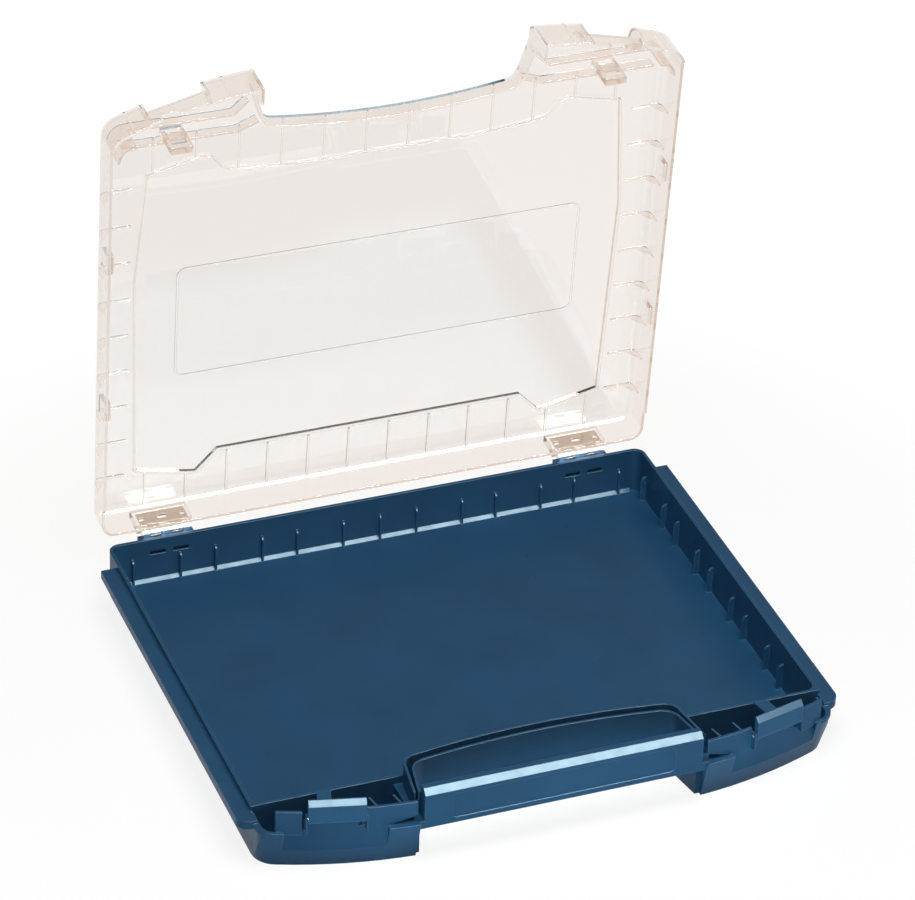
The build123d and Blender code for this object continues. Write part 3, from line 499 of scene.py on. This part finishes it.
def gusset_tree():
    """Gussets on the back of each wing: a tapered plate on every point of a bowed row."""
    tree = tree_with_inputs("Wing Gussets", (
        ("Count", "NodeSocketInt", 2),
        ("First", "NodeSocketFloat", 0.1),
        ("Spacing", "NodeSocketFloat", 0.01),
        ("Depth", "NodeSocketFloat", 0.01),
        ("Thickness", "NodeSocketFloat", 0.001),
        ("Bottom", "NodeSocketFloat", 0.0),
        ("Top", "NodeSocketFloat", 0.04),
        ("Drop", "NodeSocketFloat", 0.003),
        ("Bow X", "NodeSocketFloat", 0.07),
        ("Bow Y", "NodeSocketFloat", 0.12),
        ("Bow Radius", "NodeSocketFloat", 0.27),
        ("Material", "NodeSocketMaterial", None)))
    link = tree.links.new
    sizes = add_node(tree, "NodeGroupInput", (-1800, 0)).outputs

    def calculate(operation, first, second, place):
        node = add_node(tree, "ShaderNodeMath", place, operation=operation)
        for socket, value in zip(node.inputs, (first, second)):
            if isinstance(value, bpy.types.NodeSocket):
                link(value, socket)
            else:
                socket.default_value = value
        return node.outputs["Value"]

    def vector(x, y, z, place):
        node = add_node(tree, "ShaderNodeCombineXYZ", place)
        for socket, value in zip(node.inputs, (x, y, z)):
            if value is not None:
                link(value, socket)
        return node.outputs["Vector"]

    height = calculate("SUBTRACT", sizes["Top"], sizes["Bottom"], (-1500, -400))
    half_depth = calculate("MULTIPLY", sizes["Depth"], 0.5, (-1500, -600))
    middle_z = calculate("MULTIPLY", calculate("ADD", sizes["Top"], sizes["Bottom"], (-1500, -800)),
                         0.5, (-1300, -800))
    plate = add_node(tree, "GeometryNodeMeshCube", (-1000, -400))
    link(vector(sizes["Thickness"], sizes["Depth"], height, (-1200, -400)), plate.inputs["Size"])
    stood = add_node(tree, "GeometryNodeTransform", (-800, -400))
    link(plate.outputs["Mesh"], stood.inputs["Geometry"])
    link(vector(None, half_depth, middle_z, (-1000, -650)), stood.inputs["Translation"])
    where = add_node(tree, "ShaderNodeSeparateXYZ", (-1000, -900))
    link(add_node(tree, "GeometryNodeInputPosition", (-1200, -950)).outputs["Position"],
         where.inputs["Vector"])
    rear = calculate("GREATER_THAN", where.outputs["Y"], half_depth, (-800, -900))
    high = calculate("GREATER_THAN", where.outputs["Z"], middle_z, (-800, -1050))
    tapered = add_node(tree, "GeometryNodeSetPosition", (-500, -400))
    link(stood.outputs["Geometry"], tapered.inputs["Geometry"])
    link(calculate("MULTIPLY", rear, high, (-650, -950)), tapered.inputs["Selection"])
    link(vector(None, None, calculate("MULTIPLY", sizes["Drop"], -1.0, (-800, -1200)), (-650, -1200)),
         tapered.inputs["Offset"])

    rows = add_node(tree, "GeometryNodeJoinGeometry", (-900, 300))
    for hand, y in ((1.0, 500), (-1.0, 200)):
        row = add_node(tree, "GeometryNodeMeshLine", (-1100, y), mode="OFFSET")
        link(sizes["Count"], row.inputs["Count"])
        link(vector(calculate("MULTIPLY", sizes["First"], hand, (-1500, y)), None, None, (-1300, y)),
             row.inputs["Start Location"])
        link(vector(calculate("MULTIPLY", sizes["Spacing"], hand, (-1500, y - 100)), None, None,
                    (-1300, y - 100)), row.inputs["Offset"])
        link(row.outputs["Mesh"], rows.inputs["Geometry"])
    along = add_node(tree, "ShaderNodeSeparateXYZ", (-900, 800))
    link(add_node(tree, "GeometryNodeInputPosition", (-1100, 800)).outputs["Position"],
         along.inputs["Vector"])
    out = calculate("SUBTRACT", calculate("ABSOLUTE", along.outputs["X"], 0.0, (-700, 800)),
                    sizes["Bow X"], (-500, 800))
    square = calculate("SUBTRACT", calculate("POWER", sizes["Bow Radius"], 2.0, (-700, 650)),
                       calculate("POWER", out, 2.0, (-300, 800)), (-100, 800))
    face_y = calculate("SUBTRACT", sizes["Bow Y"], calculate("SQRT", square, 0.0, (100, 800)), (300, 800))
    bowed = add_node(tree, "GeometryNodeSetPosition", (500, 300))
    link(rows.outputs["Geometry"], bowed.inputs["Geometry"])
    link(vector(None, face_y, None, (400, 600)), bowed.inputs["Offset"])

    placed = add_node(tree, "GeometryNodeInstanceOnPoints", (700, 100))
    link(bowed.outputs["Geometry"], placed.inputs["Points"])
    link(tapered.outputs["Geometry"], placed.inputs["Instance"])
    real = add_node(tree, "GeometryNodeRealizeInstances", (900, 100))
    link(placed.outputs["Instances"], real.inputs["Geometry"])
    painted = add_node(tree, "GeometryNodeSetMaterial", (1100, 100))
    link(real.outputs["Geometry"], painted.inputs["Geometry"])
    link(sizes["Material"], painted.inputs["Material"])
    link(painted.outputs["Geometry"], add_node(tree, "NodeGroupOutput", (1300, 100)).inputs["Geometry"])
    return tree


class CASE_OT_latches(bpy.types.Operator):
    """Give the two latches their blue moulded plastic"""

    bl_idname = "case.latches"
    bl_label = "Latches"

    def execute(self, context):
        settings = context.scene.case_plastic
        material = moulded_plastic(
            "latch_plastic", settings.latch_color, settings, settings.latch_clouding)
        for node in ("left_latch", "right_latch"):
            finish_node(node, material)
        return {"FINISHED"}


class CASE_OT_lid(bpy.types.Operator):
    """Give the lid its clear plastic"""

    bl_idname = "case.lid"
    bl_label = "Clear Lid"

    def execute(self, context):
        finish_node("lid", clear_plastic("lid_plastic", context.scene.case_lid))
        return {"FINISHED"}


class CASE_OT_hinges(bpy.types.Operator):
    """Give the hinge leaves and all pins their steel"""

    bl_idname = "case.hinges"
    bl_label = "Hinges and Pins"

    def execute(self, context):
        settings = context.scene.case_steel
        leaf = plated_steel("hinge_steel", settings.hinge_color, settings.hinge_roughness)
        pin = plated_steel("pin_steel", settings.spring_color, settings.pin_roughness)
        for side in ("left", "right"):
            finish_node(f"{side}_hinge_base_leaf", leaf)
            finish_node(f"{side}_hinge_lid_leaf", leaf)
            finish_node(f"{side}_hinge_pin", leaf)
            finish_node(f"{side}_latch_pin", pin)
        return {"FINISHED"}


class CASE_OT_springs(bpy.types.Operator):
    """Give the two latch springs their steel"""

    bl_idname = "case.springs"
    bl_label = "Latch Springs"

    def execute(self, context):
        settings = context.scene.case_steel
        material = plated_steel("spring_steel", settings.spring_color, settings.spring_roughness)
        for side in ("left", "right"):
            finish_node(f"{side}_latch_spring", material)
        return {"FINISHED"}


class CASE_OT_stage(bpy.types.Operator):
    """Set up the floor, the lights and the camera"""

    bl_idname = "case.stage"
    bl_label = "Stage"

    def execute(self, context):
        settings = context.scene.case_stage
        context.scene.view_settings.view_transform = "Standard"
        make_floor(settings)
        make_world(settings)
        make_lights(settings)
        make_camera(settings)
        return {"FINISHED"}


def make_floor(settings):
    """Wide white floor that looks white but keeps the case's shadow."""
    mesh = bpy.data.meshes.new("floor")
    shape = bmesh.new()
    bmesh.ops.create_grid(shape, x_segments=1, y_segments=1, size=FLOOR_HALF_WIDTH)
    for vertex in shape.verts:
        vertex.co.z = -FLOOR_DROP
    shape.to_mesh(mesh)
    shape.free()
    floor = bpy.data.objects.new("floor", mesh)
    bpy.context.scene.collection.objects.link(floor)
    material, tree = new_material("floor_paper")
    link = tree.links.new
    place = add_node(tree, "ShaderNodeTexCoord", (-900, 0))
    fibre = add_node(tree, "ShaderNodeTexNoise", (-700, 0))
    set_inputs(fibre, {"Scale": 300.0, "Detail": 2.0})
    link(place.outputs["Object"], fibre.inputs["Vector"])
    tone = add_node(tree, "ShaderNodeMix", (-480, 0), data_type="RGBA", blend_type="MIX")
    set_inputs(tone, {"A": (0.90, 0.90, 0.90, 1.0), "B": (0.92, 0.92, 0.92, 1.0)})
    link(fibre.outputs["Fac"], tone.inputs["Factor"])
    matte = add_node(tree, "ShaderNodeBsdfDiffuse", (-250, 0))
    link(tone.outputs["Result"], matte.inputs["Color"])
    glow = add_node(tree, "ShaderNodeEmission", (-250, -150))
    set_inputs(glow, {"Color": (1.0, 1.0, 1.0, 1.0), "Strength": 1.05})
    rays = add_node(tree, "ShaderNodeLightPath", (-900, 500))
    indirect = add_node(tree, "ShaderNodeMath", (-700, 400), operation="MAXIMUM")
    link(rays.outputs["Is Glossy Ray"], indirect.inputs[0])
    link(rays.outputs["Is Transmission Ray"], indirect.inputs[1])
    dimmed = add_node(tree, "ShaderNodeMath", (-500, 400), operation="MULTIPLY")
    dimmed.inputs[1].default_value = settings.paper_glow_through
    link(indirect.outputs["Value"], dimmed.inputs[0])
    reach = add_node(tree, "ShaderNodeVectorMath", (-900, 800), operation="LENGTH")
    link(place.outputs["Object"], reach.inputs[0])
    spread = add_node(tree, "ShaderNodeMapRange", (-700, 800), interpolation_type="SMOOTHSTEP")
    set_inputs(spread, {"From Min": 0.25, "From Max": 0.6,
                        "To Min": settings.paper_glow, "To Max": 1.0})
    link(reach.outputs["Value"], spread.inputs["Value"])
    direct = add_node(tree, "ShaderNodeMath", (-500, 600), operation="MULTIPLY")
    link(spread.outputs["Result"], direct.inputs[0])
    link(rays.outputs["Is Camera Ray"], direct.inputs[1])
    share = add_node(tree, "ShaderNodeMath", (-250, 450), operation="MAXIMUM")
    link(direct.outputs["Value"], share.inputs[0])
    link(dimmed.outputs["Value"], share.inputs[1])
    mix = add_node(tree, "ShaderNodeMixShader", (0, 0))
    link(share.outputs["Value"], mix.inputs["Fac"])
    link(matte.outputs["BSDF"], mix.inputs[1])
    link(glow.outputs["Emission"], mix.inputs[2])
    output = add_node(tree, "ShaderNodeOutputMaterial", (250, 0))
    link(mix.outputs["Shader"], output.inputs["Surface"])
    mesh.materials.append(material)


def seen_directly(tree, place):
    """1 for rays from the camera, a mirror-like face or through the clear lid, else 0."""
    rays = add_node(tree, "ShaderNodeLightPath", place)
    first = add_node(tree, "ShaderNodeMath", (place[0] + 200, place[1]), operation="MAXIMUM")
    second = add_node(tree, "ShaderNodeMath", (place[0] + 400, place[1]), operation="MAXIMUM")
    tree.links.new(rays.outputs["Is Camera Ray"], first.inputs[0])
    tree.links.new(rays.outputs["Is Glossy Ray"], first.inputs[1])
    tree.links.new(first.outputs["Value"], second.inputs[0])
    tree.links.new(rays.outputs["Is Transmission Ray"], second.inputs[1])
    return second.outputs["Value"]


def make_world(settings):
    """White surroundings, dimmer where they only light the case."""
    world = bpy.data.worlds.new("studio")
    bpy.context.scene.world = world
    world.use_nodes = True
    tree = world.node_tree
    tree.nodes.clear()
    link = tree.links.new
    seen = seen_directly(tree, (-800, 200))
    level = add_node(tree, "ShaderNodeMapRange", (-200, 200))
    set_inputs(level, {"To Min": settings.ambient, "To Max": 1.0})
    link(seen, level.inputs["Value"])
    back = add_node(tree, "ShaderNodeBackground", (0, 0))
    set_inputs(back, {"Color": (1.0, 1.0, 1.0, 1.0)})
    link(level.outputs["Result"], back.inputs["Strength"])
    output = add_node(tree, "ShaderNodeOutputWorld", (200, 0))
    link(back.outputs["Background"], output.inputs["Surface"])


def add_lamp(name, place, target, size, power):
    """A soft rectangular lamp that faces a target."""
    data = bpy.data.lights.new(name, "AREA")
    data.shape = "RECTANGLE"
    data.size, data.size_y = size
    data.energy = power
    lamp = bpy.data.objects.new(name, data)
    bpy.context.scene.collection.objects.link(lamp)
    aim = Vector(target) - Vector(place)
    lamp.location = place
    lamp.rotation_euler = aim.to_track_quat("-Z", "Y").to_euler()
    return lamp


def make_lights(settings):
    """A wide light over the case, a strip that edges mirror, and low lights at front and left."""
    over = add_lamp("over_case", (-0.04, -0.30, 1.02), (-0.02, -0.16, 0.0), (0.6, 0.5),
                    settings.top_power)
    over.visible_glossy = False
    strip = add_lamp("edge_strip", (0.10, -0.57, 0.66), (0.0, -0.08, 0.0), (1.0, 0.54),
                     settings.glint_power)
    strip.visible_diffuse = False
    strip.visible_transmission = False
    front = add_lamp("front_card", (0.0, -0.46, CARD_LIFT), (0.0, -0.46, 1.0), (1.1, 0.57),
                     settings.front_power)
    side = add_lamp("left_card", (-0.48, 0.0, CARD_LIFT), (-0.48, 0.0, 1.0), (0.45, 0.6),
                    settings.side_power)
    for card in (front, side):
        card.visible_camera = False
        card.visible_glossy = False
        card.visible_transmission = False


def make_camera(settings):
    """The camera of the photograph."""
    turn, drop, roll = settings.view_turn, settings.view_drop, settings.view_roll
    level = Vector((math.cos(turn), math.sin(turn), 0.0))
    ahead = Vector((-math.sin(turn) * math.cos(drop), math.cos(turn) * math.cos(drop), -math.sin(drop)))
    upright = level.cross(ahead)
    right = level * math.cos(roll) + upright * math.sin(roll)
    up = upright * math.cos(roll) - level * math.sin(roll)
    place = -(right * settings.view_right + up * settings.view_up + ahead * settings.view_distance)
    data = bpy.data.cameras.new("photo_camera")
    data.sensor_fit = "HORIZONTAL"
    data.sensor_width = SENSOR_WIDTH
    data.lens = settings.focal_pixels * SENSOR_WIDTH / PHOTO_WIDTH
    data.clip_end = CAMERA_REACH
    camera = bpy.data.objects.new("photo_camera", data)
    bpy.context.scene.collection.objects.link(camera)
    turned = Matrix((right, up, -ahead)).transposed().to_4x4()
    camera.matrix_world = Matrix.Translation(place) @ turned
    bpy.context.scene.camera = camera


class CASE_PT_panel(bpy.types.Panel):
    """Lists what makes the tool case"""

    bl_label = "Tool Case"
    bl_idname = "CASE_PT_panel"
    bl_space_type = "VIEW_3D"
    bl_region_type = "UI"
    bl_category = "Tool Case"

    def draw(self, context):
        for operator in OPERATORS:
            self.layout.operator(operator.bl_idname)


OPERATORS = (CASE_OT_stage, CASE_OT_tray, CASE_OT_gussets, CASE_OT_latches, CASE_OT_lid,
             CASE_OT_hinges, CASE_OT_springs)


def register():
    for group in SETTINGS.values():
        bpy.utils.register_class(group)
    for name, group in SETTINGS.items():
        setattr(bpy.types.Scene, name, bpy.props.PointerProperty(type=group))
    for operator in OPERATORS:
        bpy.utils.register_class(operator)
    bpy.utils.register_class(CASE_PT_panel)


def unregister():
    bpy.utils.unregister_class(CASE_PT_panel)
    for operator in reversed(OPERATORS):
        bpy.utils.unregister_class(operator)
    for name, group in SETTINGS.items():
        delattr(bpy.types.Scene, name)
        bpy.utils.unregister_class(group)


def main():
    register()
    bpy.ops.case.stage()
    bpy.ops.case.tray()
    bpy.ops.case.gussets()
    bpy.ops.case.latches()
    bpy.ops.case.lid()
    bpy.ops.case.hinges()
    bpy.ops.case.springs()


if __name__ == "__main__":
    main()
